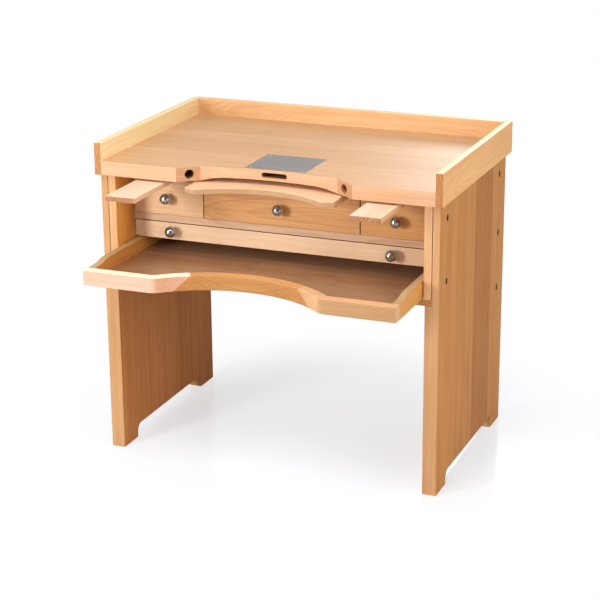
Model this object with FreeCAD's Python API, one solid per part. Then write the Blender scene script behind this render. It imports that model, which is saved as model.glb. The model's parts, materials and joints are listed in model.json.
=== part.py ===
import FreeCAD, Part
import math
import os

from FreeCAD import Vector

# Jeweller's bench, in millimetres. x runs across the bench, y from the front edge of the worktop
# to its back, z up from the floor. Each finished piece is moved along y as it is saved, so that
# the origin lies on the floor under the middle of the bench with its catch tray drawn out.

# Worktop and rims
bench_width = 1000.0
bench_depth = 650.0
working_height = 850.0
top_thickness = 40.0
rim_thickness = 20.0
rim_rise = 50.0

# Cut-out in the front of the worktop: a straight facet at each end and an arc between them
cutout_half_width = 253.0
cutout_depth = 66.0
facet_run = 52.0
facet_depth = 38.0

# Hollow under the edge of the cut-out, where fingers reach the belly board
finger_hollow_height = 10.5
finger_hollow_level_x = 125.0
finger_hollow_reach = 40.0

# Bores for a ring mandrel, square to the facets, and the slot for the bench pin, which lies
# with the plate behind it a little to the right of the middle
pin_centre_x = 7.0
mandrel_bore_radius = 13.0
mandrel_bore_length = 80.0
mandrel_bore_shift = 5.0
pin_slot_width = 74.0
pin_slot_height = 14.0
pin_slot_length = 60.0
pin_slot_drop = 15.0

# Steel plate let into the worktop behind the cut-out
plate_width = 175.0
plate_depth = 163.0
plate_thickness = 4.0
plate_margin = 2.0
plate_screw_inset = 13.0
plate_screw_length = 16.0

# Leg panels, thinner above the shoulder that carries the drawer case
panel_overhang = 10.0
panel_setback = 15.0
panel_back_inset = 25.0
panel_thickness = 40.0
panel_upper_thickness = 20.0
front_foot = 85.0
rear_foot = 90.0
foot_rise = 38.0
front_foot_round = 22.0
rear_foot_round = 6.0

# Drawer case
case_side_thickness = 24.0
case_back_thickness = 12.0
case_back_inset = 15.0
housing_depth = 6.0
drawer_recess = 108.0
shelf_thickness = 20.0
divider_x = 231.0
divider_thickness = 15.0
slide_shelf_thickness = 9.0
channel_height = 20.0
guide_setback = 6.0
runner_thickness = 18.0
runner_width = 70.0

# Stretcher between the leg panels
rail_height = 95.0
rail_thickness = 25.0
rail_drop = 62.0

# Drawers
front_thickness = 18.0
upper_front_height = 100.0
wide_front_height = 48.0
box_side_thickness = 12.0
box_back_thickness = 12.0
box_bottom_thickness = 5.0
box_bottom_lift = 8.0
box_groove = 5.0
box_drop = 15.0
box_back_clear = 25.0
wide_side_thickness = 15.0
wide_box_inset = 3.0
batten_thickness = 9.0
batten_height = 10.0

# Ball knobs
knob_radius = 16.0
knob_reach = 36.0
knob_neck_radius = 6.5
knob_base_radius = 10.0
knob_base_thickness = 2.0
knob_screw_bite = 17.0
wide_knob_x = 326.0
wide_knob_raise = 3.0

# Arm rests, drawn out from the front edge of the worktop. Each lies a little outwards of the
# middle between the belly board and the case side.
arm_thickness = 14.0
arm_width = 86.0
arm_shift = 4.75
arm_length = 560.0
arm_left_out = 172.0
arm_right_out = 125.0

# Belly board, drawn out from the middle of the cut-out
belly_thickness = 16.0
belly_half_width = 214.0
belly_horn_x = 183.0
belly_horn_depth = 60.0
belly_end_rise = 11.0
belly_out = 45.0
belly_length = 387.0

# Catch tray
tray_out = 209.0
tray_length = 560.0
tray_front_height = 42.0
tray_side_rise = 8.0
tray_wave_start = 54.0
tray_wave_run = 65.0
tray_side_thickness = 20.0
tray_rail_thickness = 28.0
tray_back_thickness = 14.0
tray_floor_thickness = 4.0
tray_floor_lift = 9.0
tray_groove = 6.0
tray_scoop_radius = 340.0
tray_scoop_depth = 95.0
tray_inner_round = 17.0
tray_seam_top = 145.0
tray_seam_bottom = 201.0

# Bolts, nuts and screws
bolt_edge = 61.0
bolt_top_drop = 45.0
bolt_shoulder_rise = 55.0
bolt_radius = 4.0
bolt_head_radius = 8.0
bolt_head_height = 5.0
bolt_socket_radius = 3.5
bolt_socket_depth = 3.0
counterbore_radius = 9.0
counterbore_depth = 8.0
insert_radius = 6.0
insert_length = 16.0
rail_bolt_bite = 30.0
barrel_radius = 6.0
barrel_length = 20.0
barrel_inset = 22.0
screw_radius = 2.0
screw_head_radius = 4.0
screw_head_height = 2.5
drive_half_length = 2.2
drive_half_width = 0.6
drive_depth = 1.2
top_screw_bite = 18.0
top_screw_inset = 60.0

# Gaps
hole_fit = 0.15
plate_fit = 0.3
slide_gap = 0.3
channel_gap = 0.5
box_gap = 1.5
front_side_gap = 1.25
front_reveal = 2.0
shelf_reveal = 0.7
tray_headroom = 3.0
tray_side_gap = 3.0

# Edge rounding
edge_round = 1.5
panel_round = 2.0
front_round = 1.0
slide_round = 3.0
tray_round = 3.0

# ---- Places that follow from the sizes above
half_width = bench_width / 2
rim_inner_x = half_width - rim_thickness
top_back = bench_depth - rim_thickness
top_z = working_height
under_z = top_z - top_thickness

panel_outer_x = half_width - panel_overhang
panel_inner_x = panel_outer_x - panel_thickness
case_outer_x = panel_outer_x - panel_upper_thickness
case_inner_x = case_outer_x - case_side_thickness
housing_x = case_inner_x + housing_depth
runner_inner_x = case_outer_x - runner_width

panel_front = panel_setback
panel_back = bench_depth - panel_back_inset
front_y = panel_front + drawer_recess
box_front = front_y + front_thickness
case_back_y = panel_back - case_back_inset - case_back_thickness
box_back = case_back_y - box_back_clear

# Heights, from the worktop down to the shoulder of the leg panels
channel_floor = under_z - channel_height
slide_shelf_bottom = channel_floor - slide_shelf_thickness
upper_front_top = slide_shelf_bottom - front_reveal
upper_front_bottom = upper_front_top - upper_front_height
shelf_top = upper_front_bottom - shelf_reveal
shelf_bottom = shelf_top - shelf_thickness
wide_front_top = shelf_bottom - front_reveal
wide_front_bottom = wide_front_top - wide_front_height
tray_side_top = wide_front_bottom - tray_headroom
tray_front_top = tray_side_top - tray_side_rise
tray_bottom = tray_front_top - tray_front_height
runner_top = tray_bottom - slide_gap
shoulder_z = runner_top - runner_thickness
rail_top = shoulder_z - rail_drop
rail_bottom = rail_top - rail_height

tray_front = panel_front - tray_out
tray_back = tray_front + tray_length
tray_outer_x = case_inner_x - tray_side_gap
tray_inner_x = tray_outer_x - tray_side_thickness
tray_rail_back = tray_front + tray_rail_thickness
tray_floor_z = tray_bottom + tray_floor_lift
scoop_centre_y = tray_front + tray_scoop_depth - tray_scoop_radius

belly_middle_y = cutout_depth - belly_out
guide_inner_x = belly_half_width + channel_gap
arm_centre = (guide_inner_x + case_inner_x) / 2 + arm_shift
arm_inner_x = arm_centre - arm_width / 2
arm_outer_x = arm_centre + arm_width / 2
guide_front = front_y + guide_setback

bolt_front_y = panel_front + bolt_edge
bolt_rear_y = panel_back - bolt_edge
case_bolt_places = [
    (y, z)
    for y in (bolt_front_y, bolt_rear_y)
    for z in (under_z - bolt_top_drop, shoulder_z + bolt_shoulder_rise)
]
rail_bolt_place = (bolt_rear_y, (rail_top + rail_bottom) / 2)
bolt_seat_x = panel_outer_x - counterbore_depth

origin_y = (tray_front + bench_depth) / 2

# Cutting tools reach this far past the faces that they cut through
past = 5.0

# Edges are picked out by where they lie, to within this
closeness = 0.01


# ---- Helpers
def board(xs, ys, zs):
    """Rectangular board between two values on each axis."""
    size = [abs(pair[1] - pair[0]) for pair in (xs, ys, zs)]
    return Part.makeBox(*size, Vector(min(xs), min(ys), min(zs)))


def prism(edges, z0, z1):
    """Upright prism over a closed outline of edges drawn at z = 0."""
    face = Part.Face(Part.Wire(edges))
    face.translate(Vector(0, 0, z0))
    return face.extrude(Vector(0, 0, z1 - z0))


def line(a, b):
    return Part.makeLine(Vector(*a), Vector(*b))


def arc(a, middle, b):
    return Part.Arc(Vector(*a), Vector(*middle), Vector(*b)).toShape()


def polyline(points):
    return [line(a, b) for a, b in zip(points, points[1:])]


def level_bend(run, change):
    """Middle of an arc that starts level and rises or falls by `change` over `run`."""
    radius = (run ** 2 + change ** 2) / (2 * change)
    half_angle = math.asin(run / radius) / 2
    return radius * math.sin(half_angle), radius * (1 - math.cos(half_angle))


def rod(radius, start, end):
    """Cylinder from one point to another."""
    along = Vector(*end) - Vector(*start)
    return Part.makeCylinder(radius, along.Length, Vector(*start), along)


def mirrored(shape):
    return shape.mirror(Vector(0, 0, 0), Vector(1, 0, 0))


def both_sides(shape):
    return [shape, mirrored(shape)]


def rounded(shape, radius, chosen):
    return shape.makeFillet(radius, [edge for edge in shape.Edges if chosen(edge)])


def values(edge, axis):
    """The edge's lowest and highest value on an axis."""
    limits = edge.BoundBox
    return getattr(limits, axis + "Min"), getattr(limits, axis + "Max")


def lies_at(edge, axis, place):
    return all(abs(value - place) < closeness for value in values(edge, axis))


def runs_along(edge, axis):
    low, high = values(edge, axis)
    return high - low > edge.Length - closeness


def save(name, shape):
    placed = shape.copy()
    placed.translate(Vector(0, -origin_y, 0))
    placed.exportStep("parts/" + name + ".step")


def save_group(name, shapes):
    save(name, Part.makeCompound(shapes))


# ---- Screws, standing on z = 0 with the head up, and larger by `extra` when used as the hole
def countersunk_screw(length, extra=0.0):
    head_depth = screw_head_radius - screw_radius
    top = Vector(0, 0, 0)
    down = Vector(0, 0, -1)
    head = Part.makeCone(screw_head_radius + extra, screw_radius + extra, head_depth, top, down)
    shank = Part.makeCylinder(screw_radius + extra, length, top, down)
    return head.fuse(shank).removeSplitter()


def placed(shape, place, turn_x=0.0):
    moved = shape.copy()
    moved.rotate(Vector(0, 0, 0), Vector(1, 0, 0), turn_x)
    moved.translate(Vector(*place))
    return moved


def cross_recess(place):
    """Cross-shaped drive recess in the top of a screw head."""
    x, y, z = place
    zs = (z - drive_depth, z + past)
    along = (-drive_half_length, drive_half_length)
    across = (-drive_half_width, drive_half_width)
    bar = board([x + value for value in along], [y + value for value in across], zs)
    return bar.fuse(board([x + value for value in across], [y + value for value in along], zs))


def plate_screw_places():
    half_across = plate_width / 2 - plate_screw_inset
    xs = (pin_centre_x - half_across, pin_centre_x + half_across)
    front = cutout_depth + plate_margin + plate_screw_inset
    back = cutout_depth + plate_margin + plate_depth - plate_screw_inset
    return [(x, y, top_z) for x in xs for y in (front, back)]


def top_screw_places():
    inner = (guide_inner_x + arm_inner_x - channel_gap) / 2
    outer = (arm_outer_x + channel_gap + case_inner_x) / 2
    ys = (guide_front + top_screw_inset, case_back_y - top_screw_inset)
    return [(x, y, slide_shelf_bottom) for x in (-outer, -inner, inner, outer) for y in ys]


def top_screw_length():
    return slide_shelf_thickness + channel_height + top_screw_bite


def top_screw_holes():
    hole = countersunk_screw(top_screw_length(), hole_fit)
    return [placed(hole, place, 180) for place in top_screw_places()]


# ---- Worktop, rims and steel plate
def facet_inner():
    return cutout_half_width - facet_run, facet_depth


def worktop_outline():
    x, y = facet_inner()
    left = [(-rim_inner_x, top_back), (-rim_inner_x, 0), (-cutout_half_width, 0), (-x, y)]
    right = [(x, y), (cutout_half_width, 0), (rim_inner_x, 0), (rim_inner_x, top_back),
             (-rim_inner_x, top_back)]
    return polyline(left) + [arc((-x, y), (0, cutout_depth), (x, y))] + polyline(right)


def mandrel_bore():
    """Bore on the right, blind, square to the facet."""
    x, y = facet_inner()
    outward = Vector(cutout_half_width - x, -y, 0).normalize()
    inward = Vector(y, cutout_half_width - x, 0).normalize()
    centre = Vector((cutout_half_width + x) / 2, y / 2, (top_z + under_z) / 2) - outward * mandrel_bore_shift
    return rod(mandrel_bore_radius, centre - inward * past, centre + inward * mandrel_bore_length)


def pin_slot():
    """Slot with round ends, from the cut-out into the front edge of the worktop."""
    end_radius = pin_slot_height / 2
    half_straight = pin_slot_width / 2 - end_radius
    ends = (pin_centre_x - half_straight, pin_centre_x + half_straight)
    z = top_z - pin_slot_drop
    ys = (facet_depth, cutout_depth + pin_slot_length)
    slot = board(ends, ys, (z - end_radius, z + end_radius))
    for x in ends:
        slot = slot.fuse(rod(end_radius, (x, ys[0], z), (x, ys[1], z)))
    return slot.removeSplitter()


def finger_hollow():
    """Shallow hollow cut from below, level in the middle and running out at the ends of the arc."""
    end_x = facet_inner()[0]
    top = under_z + finger_hollow_height
    run, fall = level_bend(end_x - finger_hollow_level_x, finger_hollow_height)
    level, middle, end = [(x, 0, z) for x, z in (
        (finger_hollow_level_x, top), (finger_hollow_level_x + run, top - fall), (end_x, under_z))]
    opposite = [(-x, 0, z) for x, y, z in (level, middle, end)]
    outline = [line(opposite[0], level), arc(level, middle, end)]
    outline += polyline([end, (end_x, 0, under_z - past), (-end_x, 0, under_z - past), opposite[2]])
    outline.append(arc(opposite[2], opposite[1], opposite[0]))
    return Part.Face(Part.Wire(outline)).extrude(Vector(0, cutout_depth + finger_hollow_reach, 0))


def plate_block(gap):
    xs = (pin_centre_x - plate_width / 2 - gap, pin_centre_x + plate_width / 2 + gap)
    ys = (cutout_depth + plate_margin - gap, cutout_depth + plate_margin + plate_depth + gap)
    return board(xs, ys, (top_z - plate_thickness, top_z))


def plate_screw_holes():
    hole = countersunk_screw(plate_screw_length, hole_fit)
    return [placed(hole, place) for place in plate_screw_places()]


def worktop():
    def front_edge(edge):
        reach = values(edge, "Y")[1]
        lower = lies_at(edge, "Z", under_z) and reach < facet_depth + past
        return lower or lies_at(edge, "Z", top_z) and reach < cutout_depth + past

    top = prism(worktop_outline(), under_z, top_z)
    top = rounded(top, edge_round, front_edge)
    holes = [plate_block(plate_fit), pin_slot(), finger_hollow()] + both_sides(mandrel_bore())
    return top.cut(holes + top_screw_holes() + plate_screw_holes())


def rim_side():
    rim = board((rim_inner_x, half_width), (0, bench_depth), (under_z, top_z + rim_rise))
    return rounded(rim, edge_round, lambda edge: lies_at(edge, "Z", top_z + rim_rise)
                   and runs_along(edge, "Y"))


def rim_back():
    rim = board((-rim_inner_x, rim_inner_x), (top_back, bench_depth), (under_z, top_z + rim_rise))
    return rounded(rim, edge_round, lambda edge: lies_at(edge, "Z", top_z + rim_rise)
                   and runs_along(edge, "X"))


def steel_plate():
    return plate_block(0.0).cut(plate_screw_holes())


def plate_screws():
    screws = []
    for place in plate_screw_places():
        screw = placed(countersunk_screw(plate_screw_length), place)
        screws.append(screw.cut(cross_recess(place)))
    return screws


def top_screws():
    screws = []
    for place in top_screw_places():
        screws.append(placed(countersunk_screw(top_screw_length()), place, 180))
    return screws


# ---- Leg panels, stretcher and their bolts; each is drawn on the right
def foot_cutout():
    ys = (panel_front + front_foot, panel_back - rear_foot)
    gap = board((panel_inner_x - past, panel_outer_x + past), ys, (-past, foot_rise))
    for y, radius in zip(ys, (front_foot_round, rear_foot_round)):
        gap = rounded(gap, radius, lambda edge: lies_at(edge, "Z", foot_rise) and lies_at(edge, "Y", y))
    return gap


def bolt_holes():
    """Counterbored holes through the right leg panel."""
    holes = []
    for y, z in case_bolt_places + [rail_bolt_place]:
        holes.append(rod(counterbore_radius, (bolt_seat_x, y, z), (panel_outer_x + past, y, z)))
        holes.append(rod(bolt_radius + hole_fit, (panel_inner_x - past, y, z), (bolt_seat_x + past, y, z)))
    return holes


def leg_panel():
    panel = board((panel_inner_x, panel_outer_x), (panel_front, panel_back), (0, under_z))
    panel = rounded(panel, panel_round, lambda edge: runs_along(edge, "Z"))
    rebate = board((panel_inner_x - past, case_outer_x), (panel_front - past, panel_back + past),
                   (shoulder_z, under_z + past))
    return panel.cut([rebate, foot_cutout()] + bolt_holes())


def rail_bolt_bore():
    y, z = rail_bolt_place
    end = bolt_seat_x - rail_bolt_length() - past
    return rod(bolt_radius + hole_fit, (end, y, z), (panel_inner_x + past, y, z))


def rail_bolt_length():
    return panel_thickness - counterbore_depth + rail_bolt_bite


def barrel_pocket():
    """Hole for the barrel nut, from the back face of the stretcher."""
    x = panel_inner_x - barrel_inset
    y, z = rail_bolt_place
    return rod(barrel_radius + hole_fit, (x, y - barrel_length / 2, z), (x, y + rail_thickness, z))


def back_rail():
    ys = (bolt_rear_y - rail_thickness / 2, bolt_rear_y + rail_thickness / 2)
    rail = board((-panel_inner_x, panel_inner_x), ys, (rail_bottom, rail_top))
    rail = rounded(rail, edge_round, lambda edge: runs_along(edge, "X"))
    return rail.cut(both_sides(rail_bolt_bore()) + both_sides(barrel_pocket()))


def panel_bolt(place, length):
    y, z = place
    head_x = bolt_seat_x + bolt_head_height
    head = rod(bolt_head_radius, (bolt_seat_x, y, z), (head_x, y, z))
    shank = rod(bolt_radius, (bolt_seat_x - length, y, z), (bolt_seat_x, y, z))
    socket = rod(bolt_socket_radius, (head_x - bolt_socket_depth, y, z), (head_x + past, y, z))
    return head.fuse(shank).cut(socket).removeSplitter()


def panel_bolts():
    case_length = bolt_seat_x - case_outer_x + insert_length
    bolts = [panel_bolt(place, case_length) for place in case_bolt_places]
    bolts.append(panel_bolt(rail_bolt_place, rail_bolt_length()))
    return bolts + [mirrored(bolt) for bolt in bolts]


def insert_pocket(place, extra=0.0):
    y, z = place
    return rod(insert_radius + extra, (case_outer_x - insert_length, y, z), (case_outer_x, y, z))


def insert_nut(place):
    y, z = place
    ends = (case_outer_x - insert_length - past, case_outer_x + past)
    bore = rod(bolt_radius + hole_fit, (ends[0], y, z), (ends[1], y, z))
    return insert_pocket(place).cut(bore)


def insert_nuts():
    nuts = [insert_nut(place) for place in case_bolt_places]
    return nuts + [mirrored(nut) for nut in nuts]


def barrel_nut():
    x = panel_inner_x - barrel_inset
    y, z = rail_bolt_place
    nut = rod(barrel_radius, (x, y - barrel_length / 2, z), (x, y + barrel_length / 2, z))
    return nut.cut(rail_bolt_bore())


# ---- Drawer case
def drawer_shelf_board():
    return board((-housing_x, housing_x), (front_y, case_back_y), (shelf_bottom, shelf_top))


def drawer_shelf():
    return rounded(drawer_shelf_board(), front_round, lambda edge: lies_at(edge, "Y", front_y)
                   and runs_along(edge, "X"))


def slide_shelf_board():
    return board((-housing_x, housing_x), (front_y, case_back_y), (slide_shelf_bottom, channel_floor))


def slide_shelf():
    return slide_shelf_board().cut(top_screw_holes())


def case_back():
    ys = (case_back_y, case_back_y + case_back_thickness)
    return board((-housing_x, housing_x), ys, (runner_top, under_z))


def case_side():
    side = board((case_inner_x, case_outer_x), (panel_front, panel_back), (runner_top, under_z))
    side = rounded(side, panel_round, lambda edge: runs_along(edge, "Z") and lies_at(edge, "Y", panel_front))
    pockets = [insert_pocket(place, hole_fit) for place in case_bolt_places]
    return side.cut([drawer_shelf_board(), slide_shelf_board(), case_back()] + pockets)


def tray_runner():
    runner = board((runner_inner_x, case_outer_x), (panel_front, panel_back), (shoulder_z, runner_top))
    return rounded(runner, edge_round, lambda edge: runs_along(edge, "X") and lies_at(edge, "Z", shoulder_z)
                   and lies_at(edge, "Y", panel_front))


def divider():
    xs = (divider_x - divider_thickness / 2, divider_x + divider_thickness / 2)
    return board(xs, (box_front + front_round, case_back_y), (shelf_top, slide_shelf_bottom))


def guide(xs):
    return board(xs, (guide_front, case_back_y), (channel_floor, under_z)).cut(top_screw_holes())


def batten_zs():
    middle = (wide_front_top + wide_front_bottom) / 2
    return middle - batten_height / 2, middle + batten_height / 2


def drawer_batten():
    xs = (case_inner_x - batten_thickness, case_inner_x)
    return board(xs, (box_front + box_gap, box_back), batten_zs())


# ---- Knobs and the screws that hold them
def knob_screw_hole(place):
    x, z = place
    bite = front_y - knob_screw_bite
    return rod(screw_radius + hole_fit, (x, bite - hole_fit, z), (x, box_front + past, z))


def knob(place):
    x, z = place
    ball_y = front_y - knob_reach + knob_radius
    ball = Part.makeSphere(knob_radius, Vector(x, ball_y, z))
    neck = rod(knob_neck_radius, (x, ball_y, z), (x, front_y, z))
    base = rod(knob_base_radius, (x, front_y - knob_base_thickness, z), (x, front_y, z))
    return ball.fuse([neck, base]).removeSplitter().cut(knob_screw_hole(place))


def knob_screw(place):
    x, z = place
    shank = rod(screw_radius, (x, front_y - knob_screw_bite, z), (x, box_front, z))
    head = rod(screw_head_radius, (x, box_front, z), (x, box_front + screw_head_height, z))
    return shank.fuse(head).removeSplitter()


# ---- Drawers: front, box sides, back and bottom panel
def save_drawer(name, front_xs, front_zs, box_xs, box_zs, side_thickness, knobs, side_groove=None):
    front = board(front_xs, (front_y, box_front), front_zs)
    front = rounded(front, front_round, lambda edge: lies_at(edge, "Y", front_y))
    inner_xs = (box_xs[0] + side_thickness, box_xs[1] - side_thickness)
    back_ys = (box_back - box_back_thickness, box_back)
    floor_z = box_zs[0] + box_bottom_lift
    bottom = board((inner_xs[0] - box_groove, inner_xs[1] + box_groove),
                   (box_front - box_groove, back_ys[0] + box_groove),
                   (floor_z, floor_z + box_bottom_thickness))
    sides = [board((box_xs[0], inner_xs[0]), (box_front, box_back), box_zs),
             board((inner_xs[1], box_xs[1]), (box_front, box_back), box_zs)]
    grooves = [bottom] + (side_groove or [])
    save(name + "_front", front.cut([bottom] + [knob_screw_hole(place) for place in knobs]))
    save_group(name + "_sides", [side.cut(grooves) for side in sides])
    save(name + "_back", board(inner_xs, back_ys, box_zs).cut(bottom))
    save(name + "_bottom", bottom)
    plural = "s" if len(knobs) > 1 else ""
    save_group(name + "_knob" + plural, [knob(place) for place in knobs])
    save_group(name + "_knob_screw" + plural, [knob_screw(place) for place in knobs])


def save_upper_drawers():
    front_zs = (upper_front_bottom, upper_front_top)
    box_zs = (shelf_top + slide_gap, upper_front_top - box_drop)
    knob_z = sum(front_zs) / 2
    outer_front = case_inner_x - front_side_gap
    outer_box = case_inner_x - box_gap
    inner_front = divider_x + front_side_gap
    inner_box = divider_x + divider_thickness / 2 + box_gap
    knob_x = (outer_front + inner_front) / 2
    middle_front = divider_x - front_side_gap
    middle_box = divider_x - divider_thickness / 2 - box_gap
    save_drawer("left_drawer", (-outer_front, -inner_front), front_zs, (-outer_box, -inner_box), box_zs,
                box_side_thickness, [(-knob_x, knob_z)])
    save_drawer("centre_drawer", (-middle_front, middle_front), front_zs, (-middle_box, middle_box), box_zs,
                box_side_thickness, [(0.0, knob_z)])
    save_drawer("right_drawer", (inner_front, outer_front), front_zs, (inner_box, outer_box), box_zs,
                box_side_thickness, [(knob_x, knob_z)])


def save_wide_drawer():
    """The wide drawer hangs on battens that run in grooves along its sides."""
    front_zs = (wide_front_bottom, wide_front_top)
    box_zs = (wide_front_bottom + wide_box_inset, wide_front_top - wide_box_inset)
    front_x = case_inner_x - front_side_gap
    box_x = case_inner_x - box_gap
    groove_zs = (batten_zs()[0] - slide_gap, batten_zs()[1] + slide_gap)
    groove = board((case_inner_x - batten_thickness - channel_gap, case_inner_x),
                   (box_front - past, box_back + past), groove_zs)
    knob_z = sum(front_zs) / 2 + wide_knob_raise
    save_drawer("wide_drawer", (-front_x, front_x), front_zs, (-box_x, box_x), box_zs,
                wide_side_thickness, [(-wide_knob_x, knob_z), (wide_knob_x, knob_z)], both_sides(groove))


# ---- Arm rests and belly board
def arm_rest(middle_x, out):
    zs = (channel_floor + slide_gap, channel_floor + slide_gap + arm_thickness)
    rest = board((middle_x - arm_width / 2, middle_x + arm_width / 2), (-out, arm_length - out), zs)
    rest = rounded(rest, edge_round, lambda edge: runs_along(edge, "Y"))
    return rounded(rest, edge_round, lambda edge: lies_at(edge, "Y", -out) and runs_along(edge, "X"))


def belly_board():
    z0 = channel_floor + slide_gap
    horn_y = belly_middle_y - belly_horn_depth
    end_y = horn_y + belly_end_rise
    back_y = belly_middle_y + belly_length
    left = [(-belly_half_width, back_y), (-belly_half_width, end_y), (-belly_horn_x, horn_y)]
    right = [(belly_horn_x, horn_y), (belly_half_width, end_y), (belly_half_width, back_y),
             (-belly_half_width, back_y)]
    front = arc((-belly_horn_x, horn_y), (0, belly_middle_y), (belly_horn_x, horn_y))
    slab = prism(polyline(left) + [front] + polyline(right), z0, z0 + belly_thickness)
    return rounded(slab, slide_round, lambda edge: values(edge, "Y")[1] < belly_middle_y + past
                   and not runs_along(edge, "Z"))


# ---- Catch tray
def scoop_edges(inset):
    """Front of the tray, left to right, moved `inset` into the rail from its outer face."""
    face_y = tray_front + inset
    hollow = tray_scoop_radius + inset
    nose = tray_inner_round + tray_rail_thickness - inset
    nose_y = face_y + nose
    nose_x = math.sqrt((hollow + nose) ** 2 - (nose_y - scoop_centre_y) ** 2)
    toward = Vector(-nose_x, scoop_centre_y - nose_y, 0).normalize()
    centre = Vector(nose_x, nose_y, 0)
    meet = centre + toward * nose
    halfway = centre + (toward + Vector(0, -1, 0)).normalize() * nose
    straight = (nose_x, face_y)
    right = [arc(meet, halfway, (nose_x, face_y, 0)), line((*straight, 0), (tray_outer_x, face_y, 0))]
    left = [line((-tray_outer_x, face_y, 0), (-nose_x, face_y, 0)),
            arc((-nose_x, face_y, 0), (-halfway.x, halfway.y, 0), (-meet.x, meet.y, 0))]
    bow = arc((-meet.x, meet.y, 0), (0, scoop_centre_y + hollow, 0), meet)
    return left + [bow] + right


def tray_plan(inset, back_y):
    """Closed outline from the front, moved in by `inset`, to a straight back."""
    sides = [(tray_outer_x, tray_front + inset), (tray_outer_x, back_y), (-tray_outer_x, back_y),
             (-tray_outer_x, tray_front + inset)]
    return scoop_edges(inset) + polyline(sides)


def on_outer_face(edge):
    """True for an edge along the outer face of the tray's front."""
    middle = edge.valueAt((edge.FirstParameter + edge.LastParameter) / 2)
    spot = Part.Vertex(middle.x, middle.y, 0)
    return min(spot.distToShape(part)[0] for part in scoop_edges(0.0)) < closeness


def tray_rail():
    deepest = tray_front + tray_scoop_depth + tray_rail_thickness
    whole = prism(tray_plan(0.0, deepest), tray_bottom, tray_front_top)
    inside = prism(tray_plan(tray_rail_thickness, deepest + past), tray_bottom - past, tray_front_top + past)
    rail = whole.cut(inside)

    def top_front(edge):
        level = lies_at(edge, "Z", tray_front_top) or lies_at(edge, "Z", tray_bottom)
        return level and on_outer_face(edge)

    return rounded(rail, tray_round, top_front)


def seam_wedge():
    """Space of the rail's middle block: its ends slope outwards to the bottom."""
    def arc_y(x):
        return scoop_centre_y + math.sqrt(tray_scoop_radius ** 2 - x ** 2)

    mean_x = (tray_seam_top + tray_seam_bottom) / 2
    splay = mean_x / (arc_y(mean_x) - scoop_centre_y)
    slope = (tray_seam_bottom - tray_seam_top) / tray_front_height
    outlines = []
    for z in (tray_bottom - past, tray_front_top + past):
        seam_x = tray_seam_top + slope * (tray_front_top - z)
        y0 = tray_front - past
        y1 = tray_front + tray_scoop_depth + tray_rail_thickness + past
        x0 = seam_x + splay * (y0 - arc_y(mean_x))
        x1 = seam_x + splay * (y1 - arc_y(mean_x))
        corners = [(-x0, y0, z), (x0, y0, z), (x1, y1, z), (-x1, y1, z), (-x0, y0, z)]
        outlines.append(Part.Wire(polyline(corners)))
    return Part.makeLoft(outlines, True, True)


def tray_floor():
    inner_x = tray_inner_x + tray_groove
    back_y = tray_back - tray_back_thickness + tray_groove
    plan = prism(tray_plan(tray_rail_thickness - tray_groove, back_y),
                 tray_floor_z, tray_floor_z + tray_floor_thickness)
    return plan.common(board((-inner_x, inner_x), (tray_front, back_y), (tray_bottom, tray_front_top)))


def tray_side():
    """Side of the tray on the right; its top edge rises in a wave behind the front rail."""
    reach, lift = level_bend(tray_wave_run / 2, tray_side_rise / 2)
    y0 = tray_front + tray_wave_start
    y1 = y0 + tray_wave_run
    x = tray_inner_x
    start = (x, y0, tray_front_top)
    middle = (x, (y0 + y1) / 2, (tray_front_top + tray_side_top) / 2)
    end = (x, y1, tray_side_top)
    wave = [arc(start, (x, y0 + reach, tray_front_top + lift), middle),
            arc(middle, (x, y1 - reach, tray_side_top - lift), end)]
    rest = [end, (x, tray_back, tray_side_top), (x, tray_back, tray_bottom), (x, tray_rail_back, tray_bottom),
            (x, tray_rail_back, tray_front_top), start]
    face = Part.Face(Part.Wire(wave + polyline(rest)))
    side = face.extrude(Vector(tray_side_thickness, 0, 0))

    def top_edge(edge):
        return values(edge, "Z")[0] > tray_front_top - closeness and not runs_along(edge, "X")

    return rounded(side, edge_round, top_edge)


def save_tray():
    rail = tray_rail()
    wedge = seam_wedge()
    floor = tray_floor()
    ends = rail.cut(wedge).Solids
    left, right = sorted(ends, key=lambda solid: solid.CenterOfMass.x)
    save("tray_front_left", left.cut(floor))
    save("tray_front_middle", rail.common(wedge).cut(floor))
    save("tray_front_right", right.cut(floor))
    save_group("tray_sides", [side.cut(floor) for side in both_sides(tray_side())])
    back = board((-tray_inner_x, tray_inner_x), (tray_back - tray_back_thickness, tray_back),
                 (tray_bottom, tray_side_top))
    save("tray_back", back.cut(floor))
    save("tray_floor", floor)


# ---- Build
def save_pair(name, shape):
    """One piece on each side of the bench, drawn on the right."""
    save(name + "_right", shape)
    save(name + "_left", mirrored(shape))


os.makedirs("parts", exist_ok=True)

save("worktop", worktop())
save_pair("rim", rim_side())
save("rim_back", rim_back())
save("steel_plate", steel_plate())
save_group("plate_screws", plate_screws())
save_group("top_screws", top_screws())

save_pair("leg_panel", leg_panel())
save("back_rail", back_rail())
save_group("panel_bolts", panel_bolts())
save_group("insert_nuts", insert_nuts())
save_group("barrel_nuts", both_sides(barrel_nut()))

save_pair("case_side", case_side())
save("case_back", case_back())
save_pair("tray_runner", tray_runner())
save("drawer_shelf", drawer_shelf())
save_pair("divider", divider())
save("slide_shelf", slide_shelf())
save_group("outer_guides", both_sides(guide((arm_outer_x + channel_gap, case_inner_x))))
save_group("inner_guides", both_sides(guide((guide_inner_x, arm_inner_x - channel_gap))))
save_group("drawer_battens", both_sides(drawer_batten()))

save("arm_rest_left", arm_rest(-arm_centre, arm_left_out))
save("arm_rest_right", arm_rest(arm_centre, arm_right_out))
save("belly_board", belly_board())

save_upper_drawers()
save_wide_drawer()
save_tray()
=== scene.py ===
import json
import math

import bmesh
import bpy
from mathutils import Euler, Matrix, Vector


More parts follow.
